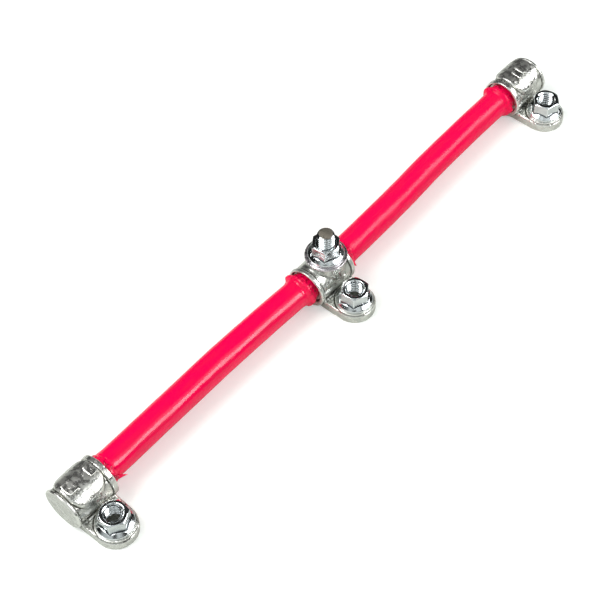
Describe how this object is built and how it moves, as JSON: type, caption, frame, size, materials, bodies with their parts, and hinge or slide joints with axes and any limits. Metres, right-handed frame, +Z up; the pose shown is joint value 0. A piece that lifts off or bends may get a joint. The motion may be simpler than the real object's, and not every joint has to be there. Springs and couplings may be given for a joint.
{
  "type": "battery jumper bar",
  "caption": "Insulated cable with cast ear terminals in a row, a raised stud on the centre one and hexagon flange nuts, for joining batteries side by side.",
  "frame": {"origin": "axis of the centre ear's hole, on the flat underside that all three terminals stand on", "axes": "+X along the bar, +Z up out of the battery posts, the ears pointing to -Y"},
  "size_m": [0.3832, 0.0481, 0.0436],
  "materials": {
    "casting": "cast brass with a satin tin plating",
    "copper": "bare stranded copper",
    "jacket": "smooth red cable insulation",
    "plated_steel": "bright zinc plating"
  },
  "bodies": {
    "root": {"left_end_terminal": "casting", "centre_terminal": "casting", "right_end_terminal": "casting", "conductor": "copper", "left_jacket": "jacket", "right_jacket": "jacket", "stud": "plated_steel", "stud_washer": "plated_steel", "stud_nut": "plated_steel", "left_ear_nut": "plated_steel", "centre_ear_nut": "plated_steel", "right_ear_nut": "plated_steel"}
  },
  "joints": []
}
